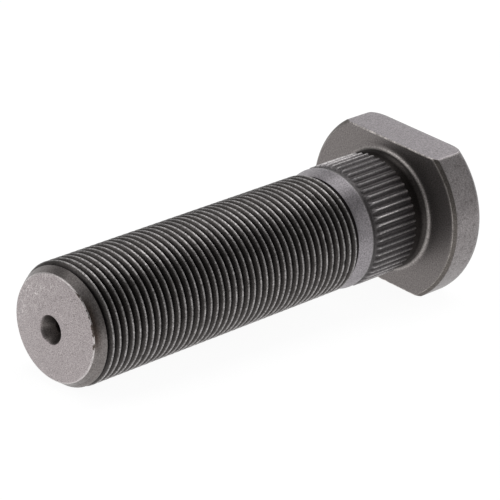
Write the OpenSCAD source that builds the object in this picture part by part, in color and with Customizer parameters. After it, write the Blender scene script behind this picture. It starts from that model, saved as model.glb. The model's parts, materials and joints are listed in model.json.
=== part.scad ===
// Wheel stud of a commercial vehicle: a fine thread, a tapered collar, pressed serrations
// and a round head with two flats, turned and rolled in one piece of steel.
// The stud is drawn upright on its own axis, with zero at the head's bearing face and the
// thread below it. wheel_stud() then lays it down as it comes to rest on a flat surface.

/* [Head] */
// Diameter of the round head
head_d = 35; // [32:0.5:40]
// Thickness of the head
head_h = 8; // [6:0.5:12]
// Distance between the head's two flats
across_flats = 27.3; // [26:0.1:30]
// Width of the chamfer round the bearing face
head_chamfer = 0.65; // [0.3:0.05:1.5]
// Radius of that chamfer's slight crown
head_chamfer_crown = 4; // [2:0.5:8]
// Radius of the round edge at the back of the head
head_round = 0.8; // [0.3:0.1:2]

/* [Shank] */
// Length of the shank, from the bearing face to the rim of the end face
shank_len = 80.5; // [60:0.5:110]
// Diameter of the plain neck under the head
neck_d = 21.2; // [20:0.1:22]
// Length of the neck, from the bearing face to the serrations
neck_len = 3.2; // [2.4:0.1:6]
// Radius of the fillet between the neck and the head
neck_fillet = 1.5; // [0.5:0.1:2]

/* [Serrations] */
// Diameter over the ridges
ridge_d = 22.6; // [22.4:0.1:24]
// Length of the serrated stretch
ridge_len = 10.5; // [6:0.5:20]
// Number of ridges
ridge_count = 50; // [36:1:60]
// Width of a ridge's top
ridge_top_w = 0.24; // [0.1:0.02:0.5]
// Depth of the grooves between the ridges
ridge_depth = 0.52; // [0.3:0.02:0.7]
// Length of the taper that leads up to the ridges
ridge_lead_len = 1.1; // [0.6:0.1:2]
// Width of the chamfer at the ridges' ends beside the neck
ridge_end_chamfer = 0.25; // [0.1:0.05:0.3]

/* [Collar] */
// Largest diameter of the collar
collar_d = 22.3; // [22:0.1:22.6]
// Length of the collar, from the thread to the serrations
collar_len = 3.9; // [3:0.1:8]
// Height of the collar's front edge above the thread's root
collar_step = 0.25; // [0.1:0.05:0.5]
// Length of the relief between the collar and the serrations
relief_len = 1.2; // [0.6:0.1:2]
// Depth of that relief below the collar
relief_depth = 0.3; // [0.1:0.05:0.4]

/* [Thread] */
// Outer diameter of the thread, as made to its tolerance
thread_d = 21.85; // [21:0.05:22]
// Pitch of the thread
pitch = 1.5; // [1:0.25:2]
// Distance from the end face's rim to the first crest
first_crest = 1.65; // [1.2:0.05:2.5]

/* [End] */
// Diameter of the end face, inside its chamfer
end_d = 18.8; // [16:0.1:19.6]
// Angle between the end chamfer and the axis
end_chamfer_angle = 33; // [25:1:45]
// Height of the crowned end face above its rim
crown = 1; // [0.3:0.1:2]
// Diameter of the centre hole
hole_d = 5.15; // [3:0.05:8]
// Depth of the centre hole's straight wall
hole_depth = 10; // [4:0.5:30]
// Angle of the drill point at the bottom of the centre hole
drill_angle = 118; // [90:1:140]

/* [Hidden] */

$fn = 96;
// How far one shape runs into another that it joins or cuts
bite = 0.5;

head_r = head_d / 2;
flat_h = across_flats / 2;
neck_r = neck_d / 2;
ridge_r = ridge_d / 2;
collar_r = collar_d / 2;
thread_r = thread_d / 2;
end_r = end_d / 2;
hole_r = hole_d / 2;

// Heights along the axis, all below the bearing face
ridge_end_y = -neck_len;
ridge_start_y = ridge_end_y - ridge_len;
collar_top_y = ridge_start_y - relief_len;
collar_front_y = ridge_start_y - collar_len;
rim_y = -shank_len;
relief_r = collar_r - relief_depth;

// The chamfer's crown passes through both edges of the chamfer, with its centre inside the head
chamfer_chord = head_chamfer * sqrt(2);
chamfer_reach = sqrt(pow(head_chamfer_crown, 2) - pow(chamfer_chord / 2, 2)) / sqrt(2);
chamfer_axis_r = head_r - head_chamfer / 2 - chamfer_reach;
chamfer_axis_y = head_chamfer / 2 + chamfer_reach;

// The metric profile, with its crest an eighth of the pitch wide
flank = tan(30);
crest_w = pitch / 8;
thread_depth = 17 / 24 * pitch * cos(30);
root_w = pitch - crest_w - 2 * thread_depth * flank;
root_r = thread_r - thread_depth;
last_groove_room = crest_w / 2 + thread_depth * flank + root_w / 2;
crests = floor((collar_front_y - rim_y - first_crest - last_groove_room) / pitch) + 1;
last_crest_y = rim_y + first_crest + (crests - 1) * pitch;
end_chamfer_len = (thread_r - end_r) / tan(end_chamfer_angle);

// A serration groove is an arc through the edges of two neighbouring ridge tops
groove_w = 2 * PI * ridge_r / ridge_count - ridge_top_w;
groove_r = (pow(groove_w / 2, 2) + pow(ridge_depth, 2)) / (2 * ridge_depth);
groove_axis_r = ridge_r - ridge_depth + groove_r;

crown_r = (pow(end_r, 2) + pow(crown, 2)) / (2 * crown);

// At rest the stud touches the surface with the edge of one flat at the bearing face, and
// with the first crest that stands clear of the end chamfer
rest_crest = ceil((end_chamfer_len - first_crest + crest_w / 2) / pitch);
rest_y = rim_y + first_crest + rest_crest * pitch - crest_w / 2;
tilt = atan((flat_h - thread_r) / -rest_y);
rest_lift = flat_h * cos(tilt);
// The outermost points along the surface: the back of the head below, and the end face
face_r = max(hole_r, crown_r * sin(tilt));
face_y = rim_y - crown + crown_r - sqrt(pow(crown_r, 2) - pow(face_r, 2));
far_x = head_h * cos(tilt) + flat_h * sin(tilt);
near_x = face_y * cos(tilt) - face_r * sin(tilt);
rest_x = -(near_x + far_x) / 2;

// Outline of the shank without its thread, as radius and height
module shank_outline() {
    polygon([
        [0, rim_y],
        [end_r, rim_y],
        [thread_r, rim_y + end_chamfer_len],
        [thread_r, last_crest_y + crest_w / 2],
        [root_r, last_crest_y + crest_w / 2 + thread_depth * flank],
        [root_r, collar_front_y],
        [root_r + collar_step, collar_front_y],
        [collar_r, collar_top_y],
        [relief_r, ridge_start_y],
        [ridge_r, ridge_start_y + ridge_lead_len],
        [ridge_r, ridge_end_y - ridge_end_chamfer],
        [ridge_r - ridge_end_chamfer, ridge_end_y],
        [neck_r, ridge_end_y],
        [neck_r, bite],
        [0, bite]
    ]);
}

// One turn's groove, cut at the height of its middle
module thread_groove() {
    polygon([
        [root_r, -root_w / 2],
        [root_r, root_w / 2],
        [thread_r + bite, root_w / 2 + (thread_depth + bite) * flank],
        [thread_r + bite, -root_w / 2 - (thread_depth + bite) * flank]
    ]);
}

// The crowned end face, from its rim outwards
module crown_outline() {
    intersection() {
        translate([0, rim_y - crown])
            square([end_r, crown + bite]);
        translate([0, rim_y - crown + crown_r])
            circle(r = crown_r);
    }
}

// The fillet that runs from the neck up to the bearing face
module neck_fillet_outline() {
    difference() {
        translate([neck_r - bite, -neck_fillet])
            square([neck_fillet + bite, neck_fillet + bite]);
        translate([neck_r + neck_fillet, -neck_fillet])
            circle(r = neck_fillet);
    }
}

module shank() {
    rotate_extrude() {
        difference() {
            shank_outline();
            for (i = [0 : crests - 2]) {
                translate([0, rim_y + first_crest + (i + 0.5) * pitch])
                    thread_groove();
            }
        }
        crown_outline();
        neck_fillet_outline();
    }
}

// One groove of the serrations, with a ball end beside the collar
module serration_groove() {
    translate([groove_axis_r, 0, ridge_start_y + groove_r]) {
        cylinder(r = groove_r, h = ridge_len + neck_len - neck_fillet - groove_r, $fn = 32);
        sphere(r = groove_r, $fn = 32);
    }
}

module serrations() {
    for (i = [0 : ridge_count - 1]) {
        rotate([0, 0, i * 360 / ridge_count])
            serration_groove();
    }
}

// What the chamfer takes off the edge beside the bearing face
module chamfer_cut() {
    difference() {
        translate([head_r - head_chamfer, -bite])
            square(head_chamfer + bite);
        translate([chamfer_axis_r, chamfer_axis_y])
            circle(r = head_chamfer_crown);
    }
}

// What the round edge takes off the back of the head
module back_round_cut() {
    difference() {
        translate([head_r - head_round, head_h - head_round])
            square(head_round + bite);
        translate([head_r - head_round, head_h - head_round])
            circle(r = head_round);
    }
}

module head_outline() {
    difference() {
        square([head_r, head_h]);
        chamfer_cut();
        back_round_cut();
    }
}

// The round head, cut to its two flats
module head() {
    intersection() {
        rotate_extrude()
            head_outline();
        translate([-flat_h, -head_d, -bite])
            cube([across_flats, 2 * head_d, head_h + 2 * bite]);
    }
}

// The drilled hole in the end face, with its drill point
module centre_hole() {
    translate([0, 0, rim_y - crown - bite])
        cylinder(r = hole_r, h = hole_depth + bite);
    translate([0, 0, rim_y - crown + hole_depth])
        cylinder(r1 = hole_r, r2 = 0, h = hole_r / tan(drill_angle / 2));
}

module stud_on_axis() {
    difference() {
        union() {
            shank();
            head();
        }
        serrations();
        centre_hole();
    }
}

module wheel_stud() {
    color([0.36, 0.34, 0.34])
        translate([rest_x, 0, rest_lift])
            rotate([0, 90 - tilt, 0])
                stud_on_axis();
}

wheel_stud();
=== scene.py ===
import json
import math

import bmesh
import bpy
from mathutils import Matrix, Vector


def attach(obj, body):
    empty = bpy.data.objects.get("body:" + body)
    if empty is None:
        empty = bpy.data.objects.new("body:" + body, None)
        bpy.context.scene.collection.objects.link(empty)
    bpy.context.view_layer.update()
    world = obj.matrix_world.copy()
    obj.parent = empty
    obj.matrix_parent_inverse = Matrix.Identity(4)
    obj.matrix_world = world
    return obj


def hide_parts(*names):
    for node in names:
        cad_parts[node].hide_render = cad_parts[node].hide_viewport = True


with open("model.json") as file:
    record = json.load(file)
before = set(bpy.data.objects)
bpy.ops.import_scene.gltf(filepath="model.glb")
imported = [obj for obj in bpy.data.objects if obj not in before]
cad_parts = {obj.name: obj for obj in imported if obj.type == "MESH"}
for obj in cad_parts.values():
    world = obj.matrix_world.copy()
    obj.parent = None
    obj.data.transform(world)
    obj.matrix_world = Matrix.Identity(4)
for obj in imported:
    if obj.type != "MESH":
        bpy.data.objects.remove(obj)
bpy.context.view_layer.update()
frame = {"record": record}

# Sizes are in millimetres until the finished mesh is placed. Heights run along the stud's own
# axis: zero at the head's bearing face, the head above it and the thread below it. Directions
# round the axis are angles from the lower flat.
MM = 0.001

# End face, with its centre hole
RIM = -80.5
END_R = 9.4
CROWN = 1.0
HOLE_R = 2.575
HOLE_CONE = math.radians(30)
PILOT_R = 1.25
PILOT_LENGTH = 3.2
DRILL_HALF_ANGLE = math.radians(59)

# Thread
PITCH = 1.5
CREST_R = 10.925
CREST_W = PITCH / 8
THREAD_DEPTH = 17 / 24 * PITCH * math.cos(math.radians(30))
ROOT_R = CREST_R - THREAD_DEPTH
FLANK = math.radians(30)
END_CHAMFER = math.radians(33)
CREST_AT_ZERO = 0.562
RUN_OUT = RIM + 62.6
RUN_OUT_LENGTH = 0.6
THREAD_COLUMNS = 150

# Collar, with the relief behind it
COLLAR_FRONT = RIM + 62.9
COLLAR_FRONT_R = 10.3
COLLAR_TOP = RIM + 65.6
COLLAR_R = 11.15
RELIEF_R = 10.85

# Serrations
RIDGES = 50
RIDGE_COLUMNS = 10
RIDGE_START = RIM + 66.8
RIDGE_END = RIM + 77.3
RIDGE_R = 11.3
RIDGE_DEPTH = 0.52
RIDGE_TOP_W = 0.24
RIDGE_LEAD = 1.1
RIDGE_PHASE = math.radians(-125.71)

# Neck and head
NECK_R = 10.6
FILLET_R = 1.5
HEAD_R = 17.5
HEAD_H = 8.0
HEAD_CHAMFER = 0.65
HEAD_ROUND = 2.0
HEAD_CORNER = 1.0
FLAT_H = 13.65

# Widths over which the tools and the rolling leave an edge rounded
CREST_ROUNDING = 0.06
ROOT_ROUNDING = 0.2
CHAMFER_ROUNDING = 0.12
RIDGE_ROUNDING = 0.03
LIP_ROUNDING = 0.4
EDGE_BREAK = 0.12

# How far the rows of the grids crowd together where the surface turns most
ROW_CROWDING = 0.045
END_CROWDING = 0.135
SEAM_GAP = 0.001

# Heights of the open rings where two stretches of the surface are joined
LIP = RIM + 0.139
THREAD_START = RIM + 0.17
COLLAR_FOOT = COLLAR_FRONT - 0.14
COLLAR_EDGE = COLLAR_TOP + 0.07
SEAT_START = COLLAR_TOP + 0.15
SEAT_END = RIDGE_END + 0.03
NECK_START = RIDGE_END + 0.25

# Dents on the crests and ridges: angle in degrees, height, depth and reach
DENTS = [
    (-138.2, -71.9, 0.12, 0.7), (-66.7, -69.8, 0.15, 0.8), (-66.7, -26.5, 0.12, 0.8),
    (-89.2, -25.0, 0.12, 0.7), (-71.7, -20.5, 0.15, 0.7), (-79.7, -20.6, 0.12, 0.7),
    (-87.7, -21.8, 0.15, 0.8), (-116.2, -26.4, 0.12, 0.7), (-156.2, -23.7, 0.15, 0.8),
    (-77.7, -12.3, 0.12, 0.7), (-138.7, -6.4, 0.12, 0.7),
]

# Sides of the stud, as angles round its axis: where the edge of the end face is chipped and
# stained, and where that face is scuffed
CHIPPED_SIDE = math.radians(-116)
SCUFFED_SIDE = math.radians(131)

# Colours, as red, green and blue. A pair is the darker and the lighter of a finish's patches
FLANK_COLOURS = ((0.05, 0.045, 0.043), (0.095, 0.088, 0.085))
CHAMFER_COLOURS = ((0.15, 0.136, 0.131), (0.23, 0.21, 0.204))
COLLAR_COLOURS = ((0.25, 0.232, 0.245), (0.33, 0.312, 0.326))
RIDGE_COLOURS = ((0.14, 0.131, 0.134), (0.2, 0.188, 0.192))
HEAD_COLOURS = ((0.2, 0.183, 0.183), (0.3, 0.28, 0.28))
END_FACE_COLOURS = ((0.34, 0.304, 0.305), (0.42, 0.38, 0.382))
# Thread roots and the collar's step: dark phosphate, darkened further with painted shade
ROOT_PHOSPHATE_AND_SHADE_COLOUR = (0.02, 0.018, 0.018)
CREST_COLOUR = (0.52, 0.5, 0.5)
STAIN_COLOUR = (0.075, 0.058, 0.05)
# Groove bottoms between the ridges: dark phosphate, darkened further with painted shade
GROOVE_PHOSPHATE_AND_SHADE_COLOUR = (0.035, 0.031, 0.031)
RIDGE_TOP_COLOUR = (0.45, 0.432, 0.43)
SPECK_COLOUR = (0.07, 0.06, 0.055)
# The head's chamfer: painted shade
BEVEL_SHADE_COLOUR = (0.13, 0.117, 0.108)
# Edge between the bearing face and the chamfer: edge wear and a painted highlight
WORN_EDGE_AND_HIGHLIGHT_COLOUR = (0.38, 0.355, 0.335)
BEARING_FACE_COLOUR = (0.2, 0.183, 0.178)
FLAT_COLOUR = (0.29, 0.267, 0.278)
BURR_COLOUR = (0.75, 0.7, 0.67)
FILLET_COLOUR = (0.32, 0.298, 0.288)
# Neck below the fillet: dark phosphate, darkened further with painted shade
NECK_PHOSPHATE_AND_SHADE_COLOUR = (0.05, 0.045, 0.043)
SCUFF_COLOUR = (0.75, 0.71, 0.7)
# Lighter ring round the end face's lip: painted highlight
LIP_HIGHLIGHT_COLOUR = (0.55, 0.515, 0.51)
CHIP_COLOUR = (0.11, 0.09, 0.08)
HOLE_COLOUR = (0.16, 0.144, 0.138)

# Order of the materials on the stud
END_FACE, THREAD, SEAT, HEAD = range(4)
JOINS = [
    (LIP, THREAD_START, END_FACE),
    (RUN_OUT, COLLAR_FOOT, THREAD),
    (COLLAR_EDGE, SEAT_START, SEAT),
    (SEAT_END, NECK_START, HEAD),
]

# Floor, with the sweep that it runs up into behind the stud, and the room; 1 is white
FLOOR_FRONT = -1.5
SWEEP_START = 0.75
SWEEP_R = 0.35
SWEEP_TOP = 1.0
SWEEP_HALF_W = 1.3
FLOOR_PAINT = 0.15
FLOOR_GLOW = 0.94
ROOM_LIGHT = 0.3
SEEN_RAYS = ("Is Camera Ray", "Is Glossy Ray", "Is Transmission Ray")

# Softboxes: name, place, aim, size of the face and radiance, in metres
SOFTBOXES = [
    ("overhead softbox", (0.04, 0.18, 0.8), (0.04, 0.18, 0.0), (0.72, 0.52), 1.2),
    ("rear softbox", (0.65, 0.12, 0.72), (0.0, 0.0, 0.0), (0.5, 0.5), 1.9),
    ("left softbox", (-0.55, 0.28, 0.3), (0.0, 0.0, 0.0), (0.4, 0.35), 2.0),
    ("right softbox", (0.34, -0.58, 0.3), (0.0, 0.0, 0.0), (0.75, 0.5), 0.5),
]

# Camera, placed by the photograph's perspective: 500 pixels across a 36 mm sensor
CAMERA_LENS = 215.95
CAMERA_DISTANCE = 520.57
CAMERA_AZIMUTH = math.radians(48.714)
CAMERA_ELEVATION = math.radians(24.003)
CAMERA_ROLL = math.radians(7.092)
CAMERA_AIM = Vector((0.969, -0.756, 14.295))


class Socket:
    """One output of a node, for use in Python expressions."""

    def __init__(self, graph, socket):
        self.graph = graph
        self.socket = socket

    def math(self, operation, *others):
        sockets = {i: value for i, value in enumerate((self, *others))}
        return self.graph.node("ShaderNodeMath", {"operation": operation}, sockets)

    def __add__(self, other):
        return self.math("ADD", other)

    __radd__ = __add__

    def __mul__(self, other):
        return self.math("MULTIPLY", other)

    __rmul__ = __mul__

    def __sub__(self, other):
        return self.math("SUBTRACT", other)

    def __rsub__(self, other):
        return self.math("MULTIPLY_ADD", -1.0, other)

    def __truediv__(self, other):
        return self.math("DIVIDE", other)


class Graph:
    """Adds nodes to a node tree of any kind."""

    def __init__(self, tree):
        self.tree = tree

    def node(self, kind, settings=None, sockets=None, output=0):
        """Adds a node, sets its settings, then its sockets, and returns an output if it has any."""
        made = self.tree.nodes.new(kind)
        for name, value in (settings or {}).items():
            setattr(made, name, value)
        for key, value in (sockets or {}).items():
            if isinstance(value, Socket):
                self.tree.links.new(value.socket, made.inputs[key])
            else:
                made.inputs[key].default_value = value
        return Socket(self, made.outputs[output]) if made.outputs else None

    def ease(self, value, low, high, at_low=0.0, at_high=1.0):
        """Runs smoothly from at_low to at_high as value goes from low to high, and is held outside."""
        return self.node(
            "ShaderNodeMapRange",
            {"interpolation_type": "SMOOTHSTEP"},
            {0: value, 1: low, 2: high, 3: at_low, 4: at_high},
        )

    def ramp(self, value, low, high, at_low=0.0, at_high=1.0):
        """Runs straight from at_low to at_high as value goes from low to high, and is held outside."""
        return self.node("ShaderNodeMapRange", {}, {0: value, 1: low, 2: high, 3: at_low, 4: at_high})

    def mix(self, factor, low, high):
        """Mixes two colours, each a link or a list of red, green and blue."""
        colours = [c if isinstance(c, Socket) else (*c, 1.0) for c in (low, high)]
        sockets = {0: factor, 6: colours[0], 7: colours[1]}
        return self.node("ShaderNodeMix", {"data_type": "RGBA"}, sockets, output=2)

    def clouds(self, place, scale, detail=2.0, roughness=0.5):
        """Noise from 0 to 1 over a place; scale is in patches a millimetre."""
        sockets = {"Vector": place, "Scale": scale, "Detail": detail, "Roughness": roughness}
        return self.node("ShaderNodeTexNoise", {}, sockets)


def geometry_graph(name, sizes):
    """A Geometry Nodes tree with one named input for each size, and the sockets of those inputs."""
    tree = bpy.data.node_groups.new(name, "GeometryNodeTree")
    tree.interface.new_socket("Geometry", in_out="INPUT", socket_type="NodeSocketGeometry")
    for label, value in sizes.items():
        kind = "NodeSocketInt" if isinstance(value, int) else "NodeSocketFloat"
        tree.interface.new_socket(label, in_out="INPUT", socket_type=kind)
    tree.interface.new_socket("Finish", in_out="INPUT", socket_type="NodeSocketMaterial")
    tree.interface.new_socket("Geometry", in_out="OUTPUT", socket_type="NodeSocketGeometry")
    given = tree.nodes.new("NodeGroupInput").outputs
    graph = Graph(tree)
    return graph, {socket.name: Socket(graph, socket) for socket in given if socket.name}


def wrapped_grid(graph, columns, rows):
    """A grid, with the share of a turn and the share of the height at each of its points."""
    sockets = {"Size X": 1.0, "Size Y": 1.0, "Vertices X": columns + 1, "Vertices Y": rows}
    mesh = graph.node("GeometryNodeMeshGrid", {}, sockets)
    position = graph.node("GeometryNodeInputPosition")
    turn = graph.node("ShaderNodeSeparateXYZ", {}, {0: position}, output=0) + 0.5
    rise = graph.node("ShaderNodeSeparateXYZ", {}, {0: position}, output=1) + 0.5
    return mesh, turn, rise


def around_axis(graph, angle, radius, height):
    """The place at an angle round the axis, a radius and a height."""
    sockets = {0: radius * angle.math("COSINE"), 1: radius * angle.math("SINE"), 2: height}
    return graph.node("ShaderNodeCombineXYZ", {}, sockets)


def end_graph(graph, mesh, place, finish):
    """Puts the grid's points in place, closes its seam and ends the tree."""
    moved = graph.node("GeometryNodeSetPosition", {}, {"Geometry": mesh, "Position": place})
    closed = graph.node("GeometryNodeMergeByDistance", {}, {"Geometry": moved, "Distance": SEAM_GAP})
    solid = graph.node("GeometryNodeRealizeInstances", {}, {"Geometry": closed})
    sockets = {"Geometry": solid, "Material": finish}
    painted = graph.node("GeometryNodeSetMaterial", {}, sockets)
    result = graph.tree.nodes.new("NodeGroupOutput")
    graph.tree.links.new(painted.socket, result.inputs[0])
    return graph.tree


def grown(tree, sizes, material):
    """The plain mesh that a tree makes from these sizes."""
    holder = bpy.data.objects.new(tree.name, bpy.data.meshes.new(tree.name))
    bpy.context.scene.collection.objects.link(holder)
    modifier = holder.modifiers.new(tree.name, "NODES")
    modifier.node_group = tree
    values = {**sizes, "Finish": material}
    for item in tree.interface.items_tree:
        if item.in_out == "INPUT" and item.name in values:
            modifier[item.identifier] = values[item.name]
    depsgraph = bpy.context.evaluated_depsgraph_get()
    mesh = bpy.data.meshes.new_from_object(holder.evaluated_get(depsgraph), depsgraph=depsgraph)
    bpy.data.objects.remove(holder)
    return mesh


def rolled_thread(material):
    """The thread from the rim of the end face to its run-out, with rows that climb as the helix does."""
    sizes = {
        "Columns": THREAD_COLUMNS, "Rows a turn": 10, "Turns": 44, "Pitch": PITCH,
        "Crest radius": CREST_R, "Crest width": CREST_W, "Root radius": ROOT_R,
        "Flank slope": math.tan(FLANK), "Crest height": RIM + CREST_AT_ZERO,
        "Start": THREAD_START, "End": RUN_OUT, "Run-out": RUN_OUT_LENGTH,
        "Rim": RIM, "Rim radius": END_R, "Chamfer slope": math.tan(END_CHAMFER),
        "Crest wear": 0.05, "Wear patches": 0.45, "Seed": 11.0,
    }
    graph, given = geometry_graph("rolled thread", sizes)
    rows = given["Rows a turn"] * given["Turns"] + 1
    mesh, turn, rise = wrapped_grid(graph, given["Columns"], rows)
    angle = turn * math.tau

    # Rows lie closer together at the crests and the roots than on the flanks
    even = rise * given["Turns"]
    crowded = even - (even * (2 * math.tau)).math("SINE") * ROW_CROWDING
    below = given["Crest height"] - given["Pitch"] * 2
    free_height = below + given["Pitch"] * (crowded + turn)
    height = free_height.math("MAXIMUM", given["Start"]).math("MINIMUM", given["End"])

    from_crest = (crowded - crowded.math("ROUND")).math("ABSOLUTE") * given["Pitch"]
    flank = given["Crest radius"] - (from_crest - given["Crest width"] * 0.5) / given["Flank slope"]
    crest = flank.math("SMOOTH_MIN", given["Crest radius"], CREST_ROUNDING)
    profile = crest.math("SMOOTH_MAX", given["Root radius"], ROOT_ROUNDING)

    fade = graph.ease(height, given["End"] - given["Run-out"], given["End"], 1.0, 0.0)
    depth = (profile - given["Root radius"]) * fade
    surface = around_axis(graph, angle, given["Crest radius"], height)
    sockets = {"Vector": surface, "W": given["Seed"], "Scale": given["Wear patches"], "Detail": 3.0}
    patches = graph.node("ShaderNodeTexNoise", {"noise_dimensions": "4D"}, sockets)
    worn = depth * (1 - patches * given["Crest wear"])
    chamfer = given["Rim radius"] + (height - given["Rim"]) * given["Chamfer slope"]
    radius = (given["Root radius"] + worn).math("SMOOTH_MIN", chamfer, CHAMFER_ROUNDING)
    tree = end_graph(graph, mesh, around_axis(graph, angle, radius, height), given["Finish"])
    return grown(tree, sizes, material)


def serrated_seat(material):
    """The relief behind the collar, and the ridges with their rounded grooves, down to the neck."""
    groove_w = math.tau * RIDGE_R / RIDGES - RIDGE_TOP_W
    groove_r = (groove_w**2 / 4 + RIDGE_DEPTH**2) / (2 * RIDGE_DEPTH)
    sizes = {
        "Ridges": RIDGES, "Columns a ridge": RIDGE_COLUMNS, "Rows": 34, "Turned by": RIDGE_PHASE,
        "Start": SEAT_START, "Ridge start": RIDGE_START, "Ridge end": RIDGE_END,
        "Collar top": COLLAR_TOP, "Collar radius": COLLAR_R, "Relief radius": RELIEF_R,
        "Ridge radius": RIDGE_R, "Lead": RIDGE_LEAD, "End chamfer": 0.25, "Neck radius": NECK_R,
        "Groove radius": groove_r, "Groove axis": RIDGE_R - RIDGE_DEPTH + groove_r,
        "Unevenness": 0.05, "Patches": 0.7, "Seed": 5.0,
    }
    graph, given = geometry_graph("serrated seat", sizes)
    mesh, turn, rise = wrapped_grid(graph, given["Ridges"] * given["Columns a ridge"], given["Rows"])
    angle = given["Turned by"] + turn * math.tau

    # Rows lie closer together at both ends of the ridges
    crowded = rise - (rise * math.tau).math("SINE") * END_CROWDING
    height = given["Start"] + (given["Ridge end"] - given["Start"]) * crowded

    relief = graph.ease(height, given["Collar top"], given["Ridge start"])
    lead = graph.ease(height, given["Ridge start"], given["Ridge start"] + given["Lead"])
    end = graph.ramp(height, given["Ridge end"] - given["End chamfer"], given["Ridge end"])
    outer = given["Collar radius"] - (given["Collar radius"] - given["Relief radius"]) * relief
    outer = outer + (given["Ridge radius"] - given["Relief radius"]) * lead - given["End chamfer"] * end

    ridge = turn * given["Ridges"]
    from_groove = 0.5 - (ridge - ridge.math("ROUND")).math("ABSOLUTE")
    swing = from_groove * math.tau / given["Ridges"]
    across = given["Groove axis"] * swing.math("SINE")
    ball = given["Ridge start"] + given["Groove radius"]
    before_ball = (height - ball).math("MINIMUM", 0.0)
    reach = given["Groove radius"] * given["Groove radius"] - across * across - before_ball * before_ball
    groove = given["Groove axis"] * swing.math("COSINE") - reach.math("MAXIMUM", 0.0).math("SQRT")
    radius = outer.math("SMOOTH_MIN", groove, RIDGE_ROUNDING)

    surface = around_axis(graph, angle, given["Ridge radius"], height)
    sockets = {"Vector": surface, "W": given["Seed"], "Scale": given["Patches"], "Detail": 3.0}
    patches = graph.node("ShaderNodeTexNoise", {"noise_dimensions": "4D"}, sockets)
    uneven = radius - (patches - 0.5) * given["Unevenness"] * lead
    last = rise.math("GREATER_THAN", 0.999)
    stepped = uneven + (given["Neck radius"] - uneven) * last
    place = around_axis(graph, angle, stepped, height + last * (SEAT_END - RIDGE_END))
    tree = end_graph(graph, mesh, place, given["Finish"])
    return grown(tree, sizes, material)


def arc(centre_r, centre_h, radius, start, stop, steps):
    """Points of an arc in an outline, as radius and height, between two angles in degrees."""
    angles = [math.radians(start + (stop - start) * i / steps) for i in range(steps + 1)]
    return [(centre_r + radius * math.cos(a), centre_h + radius * math.sin(a)) for a in angles]


def face_height(radius):
    """Height of the crowned end face at a radius."""
    crown_r = (END_R**2 + CROWN**2) / (2 * CROWN)
    return RIM - CROWN + crown_r - math.sqrt(crown_r**2 - radius**2)


def skin(bm, rings, material_index):
    """Joins neighbouring rings of points with faces; a ring of one point closes the surface."""
    rings = [[bm.verts.new(point) for point in ring] for ring in rings]
    for low, high in zip(rings, rings[1:]):
        for i in range(max(len(low), len(high))):
            j = i + 1
            corners = [low[i % len(low)], low[j % len(low)], high[j % len(high)], high[i % len(high)]]
            face = bm.faces.new(list(dict.fromkeys(corners)))
            face.material_index = material_index
            face.smooth = True


def turned(bm, outline, material_index):
    """Turns an outline of radii and heights into a surface; a point on the axis closes it."""
    angles = [math.tau * i / THREAD_COLUMNS for i in range(THREAD_COLUMNS)]
    rings = []
    for radius, height in outline:
        ring = angles if radius > 0 else angles[:1]
        rings.append([(radius * math.cos(a), radius * math.sin(a), height) for a in ring])
    skin(bm, rings, material_index)


def angle_of(vertex):
    return math.atan2(vertex.co.y, vertex.co.x)


def open_ring(bm, height, tolerance=0.01):
    """The vertices of the open edge at a height, in order round the axis."""
    found = [v for v in bm.verts if abs(v.co.z - height) < tolerance and v.is_boundary]
    return sorted(found, key=angle_of)


def stitch(bm, low, high, material_index):
    """Joins two open rings, of any counts, with one band of triangles."""
    i = j = 0
    while i < len(low) or j < len(high):
        next_low = angle_of(low[(i + 1) % len(low)]) + math.tau * ((i + 1) // len(low))
        next_high = angle_of(high[(j + 1) % len(high)]) + math.tau * ((j + 1) // len(high))
        if j == len(high) or (i < len(low) and next_low <= next_high):
            corners = (low[i % len(low)], low[(i + 1) % len(low)], high[j % len(high)])
            i += 1
        else:
            corners = (low[i % len(low)], high[(j + 1) % len(high)], high[j % len(high)])
            j += 1
        face = bm.faces.new(corners)
        face.material_index = material_index
        face.smooth = True


def lip():
    """Points of the rounding between the end face and its chamfer."""
    slope = math.asin(END_R / ((END_R**2 + CROWN**2) / (2 * CROWN)))
    start, stop = slope - math.pi / 2, -END_CHAMFER
    half_turn = (stop - start) / 2
    middle = (start + stop) / 2
    inwards = LIP_ROUNDING / math.cos(half_turn)
    centre = (END_R - inwards * math.cos(middle), RIM - inwards * math.sin(middle))
    return arc(*centre, LIP_ROUNDING, math.degrees(start), math.degrees(stop), 6)


def end_face(bm):
    """The centre hole and the crowned end face, out to its rounded lip."""
    mouth = face_height(HOLE_R)
    pilot = mouth + (HOLE_R - PILOT_R) / math.tan(HOLE_CONE)
    floor = pilot + PILOT_LENGTH
    outline = [(0, floor + PILOT_R / math.tan(DRILL_HALF_ANGLE)), (PILOT_R, floor)]
    outline += [(PILOT_R, (pilot + floor) / 2), (PILOT_R, pilot + 0.06), (PILOT_R + 0.03, pilot)]
    for share in (0.1, 0.5, 0.9, 0.97):
        outline.append((PILOT_R + (HOLE_R - PILOT_R) * share, pilot + (mouth - pilot) * share))
    outline.append((HOLE_R + 0.03, mouth + 0.02))
    radii = [HOLE_R + 0.1, 3.4, 4.6, 6.0, 7.2, 8.2, 8.8, 9.1]
    outline += [(r, face_height(r)) for r in radii]
    turned(bm, outline + lip(), END_FACE)


def collar(bm):
    """The step up from the thread and the taper, to the rounded edge before the relief."""
    outline = [(ROOT_R + 0.02, COLLAR_FOOT), (ROOT_R + 0.09, COLLAR_FRONT - 0.04)]
    outline += [(COLLAR_FRONT_R - 0.05, COLLAR_FRONT + 0.02), (COLLAR_FRONT_R, COLLAR_FRONT + 0.1)]
    for share in (0.25, 0.5, 0.75, 0.88):
        radius = COLLAR_FRONT_R + (COLLAR_R - COLLAR_FRONT_R) * share
        outline += [(radius, COLLAR_FRONT + (COLLAR_TOP - COLLAR_FRONT) * share)]
    outline += [(COLLAR_R - 0.035, COLLAR_TOP - 0.07), (COLLAR_R - 0.01, COLLAR_EDGE)]
    turned(bm, outline, SEAT)


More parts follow.
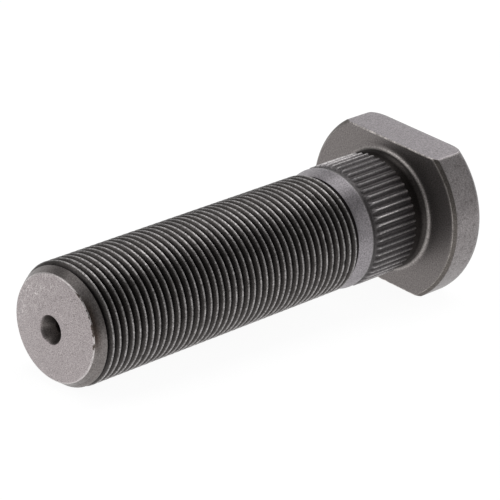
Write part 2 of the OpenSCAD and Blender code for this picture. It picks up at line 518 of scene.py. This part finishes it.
def plan_radius(angle):
    """Distance from the axis to the side of the head, at an angle round the axis."""
    from_flat = abs((angle + math.pi / 2) % math.pi - math.pi / 2)
    corner_x = FLAT_H - HEAD_CORNER
    reach = HEAD_R - HEAD_CORNER
    corner_y = math.sqrt(reach**2 - corner_x**2)
    corner_angle = math.atan2(corner_y, corner_x)
    if from_flat <= math.atan2(corner_y, FLAT_H):
        return FLAT_H / math.cos(from_flat)
    if from_flat >= corner_angle:
        return HEAD_R
    across = reach * math.sin(corner_angle - from_flat)
    return reach * math.cos(corner_angle - from_flat) + math.sqrt(HEAD_CORNER**2 - across**2)


def head_angles():
    """Angles round the head, close together at the corners between its rim and its flats."""
    reach = HEAD_R - HEAD_CORNER
    corner_y = math.sqrt(reach**2 - (FLAT_H - HEAD_CORNER) ** 2)
    flat_end = math.atan2(corner_y, FLAT_H)
    rim_start = math.atan2(corner_y, FLAT_H - HEAD_CORNER)
    quarter = [math.atan(corner_y / FLAT_H * i / 18) for i in range(18)]
    quarter += [flat_end + (rim_start - flat_end) * i / 6 for i in range(6)]
    quarter += [rim_start + (math.pi / 2 - rim_start) * i / 26 for i in range(26)]
    half = quarter + [math.pi - a for a in reversed(quarter[1:])]
    half.insert(len(quarter), math.pi / 2)
    return half + [a + math.pi for a in half]


def back_height(radius):
    """Height of the head's back at a radius, with its round edge."""
    past = radius - (HEAD_R - HEAD_ROUND)
    return HEAD_H if past <= 0 else HEAD_H - HEAD_ROUND + math.sqrt(max(HEAD_ROUND**2 - past**2, 0))


def head_section(angle):
    """The neck, the fillet and the head as radii and heights, at an angle round the axis."""
    side = plan_radius(angle)
    bevel = max(side - (HEAD_R - HEAD_CHAMFER), EDGE_BREAK)
    edge = side - bevel
    ring = NECK_R + FILLET_R
    section = [(NECK_R, NECK_START), (NECK_R, -FILLET_R - 0.15)]
    section += arc(ring, -FILLET_R, FILLET_R, 180, 90, 12)
    section += [(ring + (edge - ring) * share, 0) for share in (0.1, 0.35, 0.65, 0.9)]
    section += [(edge - 0.06, 0), (edge, 0.015)]
    section += [(edge + bevel * share, bevel * share) for share in (0.15, 0.5, 0.85)]
    section += [(side, bevel + 0.03), (side, bevel + 0.12)]

    start = math.acos(min(max((side - HEAD_R + HEAD_ROUND) / HEAD_ROUND, 0), 1))
    broken = EDGE_BREAK * math.sin(start)
    top = back_height(side) - broken
    section += [(side, bevel + (top - bevel) * share) for share in (0.15, 0.4, 0.65, 0.85, 0.97)]
    for i in range(9):
        turn = start + (math.pi / 2 - start) * i / 8
        radius = HEAD_R - HEAD_ROUND + HEAD_ROUND * math.cos(turn)
        radius = min(radius, side) - broken - 0.06 * i
        section.append((radius, back_height(radius)))
    section += [(radius * share, HEAD_H) for share in (0.85, 0.6, 0.3)]
    return section


def head(bm):
    """The neck, the fillet and the round head with its two flats."""
    angles = head_angles()
    sections = [head_section(angle) for angle in angles]
    rings = []
    for row in zip(*sections):
        rings.append([(r * math.cos(a), r * math.sin(a), h) for a, (r, h) in zip(angles, row)])
    rings.append([(0, 0, HEAD_H)])
    skin(bm, rings, HEAD)


def dent(bm, angle, height, depth, reach):
    """Pushes a crest or a ridge in, round one place."""
    angle = math.radians(angle)
    middle = Vector((CREST_R * math.cos(angle), CREST_R * math.sin(angle), height))
    for vertex in bm.verts:
        share = 1 - (vertex.co - middle).length_squared / reach**2
        if share > 0:
            inwards = depth * share**2 / vertex.co.xy.length
            vertex.co.x *= 1 - inwards
            vertex.co.y *= 1 - inwards


def stud_mesh(materials):
    """The whole stud as one closed mesh on its own axis."""
    bm = bmesh.new()
    bm.from_mesh(rolled_thread(materials[THREAD]))
    for face in bm.faces:
        face.material_index = THREAD
    count = len(bm.faces)
    bm.from_mesh(serrated_seat(materials[SEAT]))
    bm.faces.ensure_lookup_table()
    for face in bm.faces[count:]:
        face.material_index = SEAT
    for face in bm.faces:
        face.smooth = True
    end_face(bm)
    collar(bm)
    head(bm)
    for place in DENTS:
        dent(bm, *place)
    for low, high, index in JOINS:
        stitch(bm, open_ring(bm, low), open_ring(bm, high), index)
    bmesh.ops.recalc_face_normals(bm, faces=bm.faces)
    if bm.calc_volume(signed=True) < 0:
        bmesh.ops.reverse_faces(bm, faces=bm.faces)
    mesh = bpy.data.meshes.new("wheel_stud_steel")
    bm.to_mesh(mesh)
    bm.free()
    for material in materials:
        mesh.materials.append(material)
    mesh.set_sharp_from_angle(angle=math.radians(45))
    return mesh


def resting_pose(mounts):
    """Takes the stud's own axis to where it lies in the frame, as the mounts give it, in metres."""
    named = {mount["name"]: mount for mount in mounts}
    along = -Vector(named["thread"]["axis"])
    down = Vector(named["lower_flat"]["axis"])
    across = along.cross(down)
    on_axis = Vector(named["thread"]["pos_m"])
    to_face = Vector(named["bearing_face"]["pos_m"]) - on_axis
    pose = Matrix((down, across, along)).transposed().to_4x4()
    pose.translation = on_axis + along * to_face.dot(along)
    return pose


class Steel:
    """A steel's material, with the place on the stud's own axis in millimetres."""

    def __init__(self, name, pose, grain_scale=4.0):
        self.material = bpy.data.materials.new(name)
        self.material.use_nodes = True
        self.material.node_tree.nodes.clear()
        self.graph = graph = Graph(self.material.node_tree)
        seen = graph.node("ShaderNodeTexCoord", output=3)
        sockets = {"Vector": seen, "Location": pose.translation}
        sockets.update({"Rotation": pose.to_euler(), "Scale": (MM, MM, MM)})
        self.place = graph.node("ShaderNodeMapping", {"vector_type": "TEXTURE"}, sockets)
        x, y, z = [graph.node("ShaderNodeSeparateXYZ", {}, {0: self.place}, output=i) for i in range(3)]
        self.x, self.y = x, y
        self.from_middle = x.math("ABSOLUTE")
        self.radius = (x * x + y * y).math("SQRT")
        self.height = z
        self.grain = graph.clouds(self.place, grain_scale, detail=2.0, roughness=0.7)
        self.patches = graph.clouds(self.place, 0.5, detail=5.0, roughness=0.6)

    def toward(self, side):
        """Cosine of the angle between a side of the stud and the place, round the axis."""
        return (self.x * math.cos(side) + self.y * math.sin(side)) / self.radius

    def finish(self, colour, roughness, relief_depth=0.012, contrast=1.9):
        """Ends the material with the grain in its colour, its roughness and its relief."""
        graph = self.graph
        shade = 1 + (self.grain - 0.5) * contrast
        grained = graph.node("ShaderNodeVectorMath", {"operation": "SCALE"}, {0: colour, "Scale": shade})
        sockets = {"Height": self.grain, "Distance": relief_depth * MM, "Strength": 1.0}
        normal = graph.node("ShaderNodeBump", {}, sockets)
        sockets = {"Base Color": grained, "Metallic": 1.0, "Roughness": roughness, "Normal": normal}
        steel = graph.node("ShaderNodeBsdfPrincipled", {}, sockets)
        graph.node("ShaderNodeOutputMaterial", {}, {"Surface": steel})
        return self.material


def chipped_edge(steel):
    """One where the edge of the end face is chipped."""
    graph = steel.graph
    from_edge = (steel.radius - END_R).math("ABSOLUTE")
    chips = graph.clouds(steel.place, 0.9, detail=2.0, roughness=0.55)
    reach = graph.ramp(chips, 0.42, 0.62, 0.0, 0.26)
    reach = reach * graph.ease(steel.toward(CHIPPED_SIDE), 0.6, 0.95)
    return graph.ramp(from_edge - reach, 0.0, -0.1)


def thread_steel(pose):
    """Dark phosphate in the grooves and on the flanks, rubbed off the crests; the roots are darkened
    further with painted shade.
    """
    steel = Steel("rolled thread steel", pose)
    graph = steel.graph
    chamfer = END_R + (steel.height - RIM) * math.tan(END_CHAMFER)
    sunk = chamfer.math("MINIMUM", CREST_R) - steel.radius
    flank = graph.mix(steel.patches, *FLANK_COLOURS)
    # Darker towards the thread roots: dark phosphate with painted shade in the grooves
    coated = graph.mix(graph.ramp(sunk, 0.3, 0.8), flank, ROOT_PHOSPHATE_AND_SHADE_COLOUR)
    flecks = graph.ramp(graph.clouds(steel.place, 2.4, detail=3.0, roughness=0.75), 0.38, 0.62, 0.35, 1.3)
    bare = graph.ramp(sunk, 0.22, 0.07) * graph.ramp(steel.patches, 0.35, 0.65, 0.65, 1.0)
    colour = graph.mix(bare * flecks * 0.7, coated, CREST_COLOUR)
    on_chamfer = graph.ramp(chamfer, CREST_R - 0.05, CREST_R - 0.3) * graph.ramp(sunk, 0.3, 0.1)
    machined = graph.mix(steel.patches, *CHAMFER_COLOURS)
    stain = graph.ramp(steel.radius, END_R + 0.9, END_R + 0.3)
    stain = stain * graph.ramp(steel.toward(CHIPPED_SIDE), 0.85, 0.97)
    machined = graph.mix(stain, machined, STAIN_COLOUR)
    colour = graph.mix(on_chamfer, colour, machined)
    return steel.finish(colour, 0.44 - bare * 0.1)


def seat_steel(pose):
    """The collar's satin taper and the ridges, whose tops are rubbed bright; the groove bottoms and the
    collar's step are darkened with painted shade.
    """
    steel = Steel("serrated seat steel", pose)
    graph = steel.graph
    ridge = graph.ramp(steel.height, COLLAR_TOP - 0.08, COLLAR_TOP + 0.3)
    tops = graph.ramp(steel.radius, RIDGE_R - 0.2, RIDGE_R - 0.05)
    flecks = graph.ramp(graph.clouds(steel.place, 2.4, detail=3.0, roughness=0.75), 0.38, 0.62, 0.3, 1.1)
    bare = ridge * tops * flecks
    satin = graph.mix(steel.patches, *COLLAR_COLOURS)
    phosphate = graph.mix(steel.patches, *RIDGE_COLOURS)
    # Darker towards the groove bottoms: dark phosphate with painted shade
    shaded_bottom = graph.ramp(steel.radius, RIDGE_R - 0.22, RIDGE_R - 0.45)
    phosphate = graph.mix(shaded_bottom * 0.8, phosphate, GROOVE_PHOSPHATE_AND_SHADE_COLOUR)
    colour = graph.mix(bare, graph.mix(ridge, satin, phosphate), RIDGE_TOP_COLOUR)
    # The collar's step is painted near black: painted shade, in the thread roots' colour
    step = graph.ramp(steel.height, COLLAR_FRONT + 0.12, COLLAR_FRONT + 0.02)
    colour = graph.mix(step, colour, ROOT_PHOSPHATE_AND_SHADE_COLOUR)
    return steel.finish(colour, 0.42 - bare * 0.08)


def head_steel(pose):
    """The head's mottled brown-grey phosphate, with lighter flats; its chamfer painted dark as shade with
    an edge line that is wear and a painted highlight, and its neck darkened as dark phosphate with painted
    shade.
    """
    steel = Steel("head steel", pose)
    graph = steel.graph
    worn = graph.ramp(graph.clouds(steel.place, 0.8, detail=4.0, roughness=0.7), 0.35, 0.65)
    colour = graph.mix(steel.patches, *HEAD_COLOURS)
    specks = graph.ramp(graph.clouds(steel.place, 1.3, detail=3.0, roughness=0.6), 0.42, 0.34)
    colour = graph.mix(specks * 0.5, colour, SPECK_COLOUR)

    # The chamfer round the head is painted darker: painted shade
    bevel = graph.ramp(steel.height, HEAD_CHAMFER + 0.04, HEAD_CHAMFER - 0.06)
    colour = graph.mix(bevel, colour, BEVEL_SHADE_COLOUR)
    # A lighter line in patches along the chamfer's edge: edge wear and a painted highlight
    edge = graph.ramp(steel.radius, HEAD_R - HEAD_CHAMFER + 0.14, HEAD_R - HEAD_CHAMFER + 0.08)
    colour = graph.mix(edge * bevel * worn, colour, WORN_EDGE_AND_HIGHLIGHT_COLOUR)

    ring = graph.ramp(steel.radius, HEAD_R - HEAD_CHAMFER + 0.02, HEAD_R - HEAD_CHAMFER - 0.02)
    ring = ring * graph.ramp(steel.height, 0.3, 0.05)
    colour = graph.mix(ring, colour, BEARING_FACE_COLOUR)

    flat = graph.ramp(steel.from_middle, FLAT_H - 0.06, FLAT_H - 0.02)
    colour = graph.mix(flat, colour, FLAT_COLOUR)
    burr = graph.ramp(steel.from_middle, FLAT_H - 0.28, FLAT_H - 0.16)
    burr = burr * graph.ramp(steel.height, 0.25, 0.12)
    colour = graph.mix(burr * worn, colour, BURR_COLOUR)

    # Darker down the neck: dark phosphate with painted shade
    neck_shade_mask = graph.ramp(steel.height, -0.15, -0.4)
    neck = graph.mix(neck_shade_mask, FILLET_COLOUR, NECK_PHOSPHATE_AND_SHADE_COLOUR)
    colour = graph.mix(graph.ramp(steel.height, -0.02, -0.12), colour, neck)
    return steel.finish(colour, 0.4)


def end_face_steel(pose):
    """The bright machined end face, with its scuffs and chipped edge, a painted highlight round its lip,
    and the dark hole.
    """
    steel = Steel("end face steel", pose, grain_scale=6.5)
    graph = steel.graph
    face = graph.mix(steel.patches, *END_FACE_COLOURS)
    # The lip is painted lighter all round: painted highlight
    lip = graph.ramp(steel.radius, END_R - 0.2, END_R - 0.05)
    scuffed = graph.ease(steel.toward(SCUFFED_SIDE) * steel.radius, 3.0, 7.0)
    strokes = graph.clouds(steel.place, 0.7, detail=3.0, roughness=0.6) - 0.5
    scuffed = scuffed * graph.ramp(strokes.math("ABSOLUTE"), 0.016, 0.0)
    face = graph.mix(scuffed * 0.8, face, SCUFF_COLOUR)
    face = graph.mix(lip, face, LIP_HIGHLIGHT_COLOUR)
    face = graph.mix(chipped_edge(steel), face, CHIP_COLOUR)

    mouth = face_height(HOLE_R)
    inside = graph.ramp(steel.radius, HOLE_R + 0.12, HOLE_R + 0.02)
    inside = inside * graph.ramp(steel.height, mouth, mouth + 0.5)
    colour = graph.mix(inside, face, HOLE_COLOUR)
    return steel.finish(colour, 0.4, relief_depth=0.015, contrast=2.8)


def place_stud(pose):
    """The finished stud, in place in the frame with its materials."""
    materials = [end_face_steel(pose), thread_steel(pose), seat_steel(pose), head_steel(pose)]
    mesh = stud_mesh(materials)
    mesh.transform(pose @ Matrix.Scale(MM, 4))
    stud = bpy.data.objects.new("wheel_stud_steel", mesh)
    bpy.context.scene.collection.objects.link(stud)
    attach(stud, "root")
    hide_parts("wheel_stud")
    return stud


def seen_share(graph):
    """One for what the camera, a mirror or glass shows, zero for the light that it gives."""
    rays = [graph.node("ShaderNodeLightPath", output=name) for name in SEEN_RAYS]
    return (rays[0] + rays[1] + rays[2]).math("MINIMUM", 1.0)


def lay_floor():
    """A plain pale floor that runs up into a sweep behind the stud, shows white and keeps the shadow."""
    profile = [(FLOOR_FRONT, 0.0), (0.0, 0.0)]
    for i in range(13):
        turn = math.pi / 2 * i / 12
        profile.append((SWEEP_START + SWEEP_R * math.sin(turn), SWEEP_R - SWEEP_R * math.cos(turn)))
    profile.append((SWEEP_START + SWEEP_R, SWEEP_TOP))
    bm = bmesh.new()
    sides = []
    for side in (-SWEEP_HALF_W, SWEEP_HALF_W):
        sides.append([bm.verts.new((side, away, height)) for away, height in profile])
    for i in range(len(profile) - 1):
        face = bm.faces.new((sides[0][i], sides[1][i], sides[1][i + 1], sides[0][i + 1]))
        face.smooth = True
    bm.transform(Matrix.Rotation(-CAMERA_AZIMUTH, 4, "Z"))
    mesh = bpy.data.meshes.new("pale floor")
    bm.to_mesh(mesh)
    bm.free()
    material = bpy.data.materials.new("pale floor")
    material.use_nodes = True
    material.node_tree.nodes.clear()
    graph = Graph(material.node_tree)
    paint = graph.node("ShaderNodeBsdfDiffuse", {}, {"Color": (FLOOR_PAINT, FLOOR_PAINT, FLOOR_PAINT, 1.0)})
    glow = graph.node("ShaderNodeEmission", {}, {"Strength": seen_share(graph) * FLOOR_GLOW})
    surface = graph.node("ShaderNodeAddShader", {}, {0: paint, 1: glow})
    graph.node("ShaderNodeOutputMaterial", {}, {"Surface": surface})
    mesh.materials.append(material)
    floor = bpy.data.objects.new("pale floor", mesh)
    bpy.context.scene.collection.objects.link(floor)


def light_world():
    """A dim even room."""
    world = bpy.data.worlds.new("studio")
    world.use_nodes = True
    world.node_tree.nodes.clear()
    graph = Graph(world.node_tree)
    room = graph.node("ShaderNodeBackground", {}, {"Strength": ROOM_LIGHT})
    graph.node("ShaderNodeOutputWorld", {}, {"Surface": room})
    bpy.context.scene.world = world


def hang_softbox(name, place, aim, size, radiance):
    """A rectangular lamp that gives the same radiance over its face; all in metres."""
    lamp = bpy.data.lights.new(name, "AREA")
    lamp.shape = "RECTANGLE"
    lamp.size, lamp.size_y = size
    lamp.energy = radiance * math.pi * size[0] * size[1]
    softbox = bpy.data.objects.new(name, lamp)
    softbox.location = place
    softbox.rotation_euler = (Vector(aim) - Vector(place)).to_track_quat("-Z", "Y").to_euler()
    bpy.context.scene.collection.objects.link(softbox)


def set_camera():
    """The camera at the photograph's viewing angle."""
    lens = bpy.data.cameras.new("camera")
    lens.lens = CAMERA_LENS
    lens.sensor_width = 36.0
    lens.clip_start, lens.clip_end = 0.05, 20.0
    camera = bpy.data.objects.new("camera", lens)
    level = math.cos(CAMERA_ELEVATION)
    forward = Vector((
        level * math.sin(CAMERA_AZIMUTH), level * math.cos(CAMERA_AZIMUTH), -math.sin(CAMERA_ELEVATION),
    ))
    right = forward.cross(Vector((0, 0, 1))).normalized()
    above = right.cross(forward)
    turned_right = right * math.cos(CAMERA_ROLL) + above * math.sin(CAMERA_ROLL)
    turned_up = above * math.cos(CAMERA_ROLL) - right * math.sin(CAMERA_ROLL)
    place = Matrix((turned_right, turned_up, -forward)).transposed().to_4x4()
    place.translation = (CAMERA_AIM - forward * CAMERA_DISTANCE) * MM
    camera.matrix_world = place
    bpy.context.scene.collection.objects.link(camera)
    bpy.context.scene.camera = camera


pose = resting_pose(frame["record"]["mounts"])
place_stud(pose)
lay_floor()
light_world()
for softbox in SOFTBOXES:
    hang_softbox(*softbox)
set_camera()
bpy.context.scene.view_settings.view_transform = "Standard"
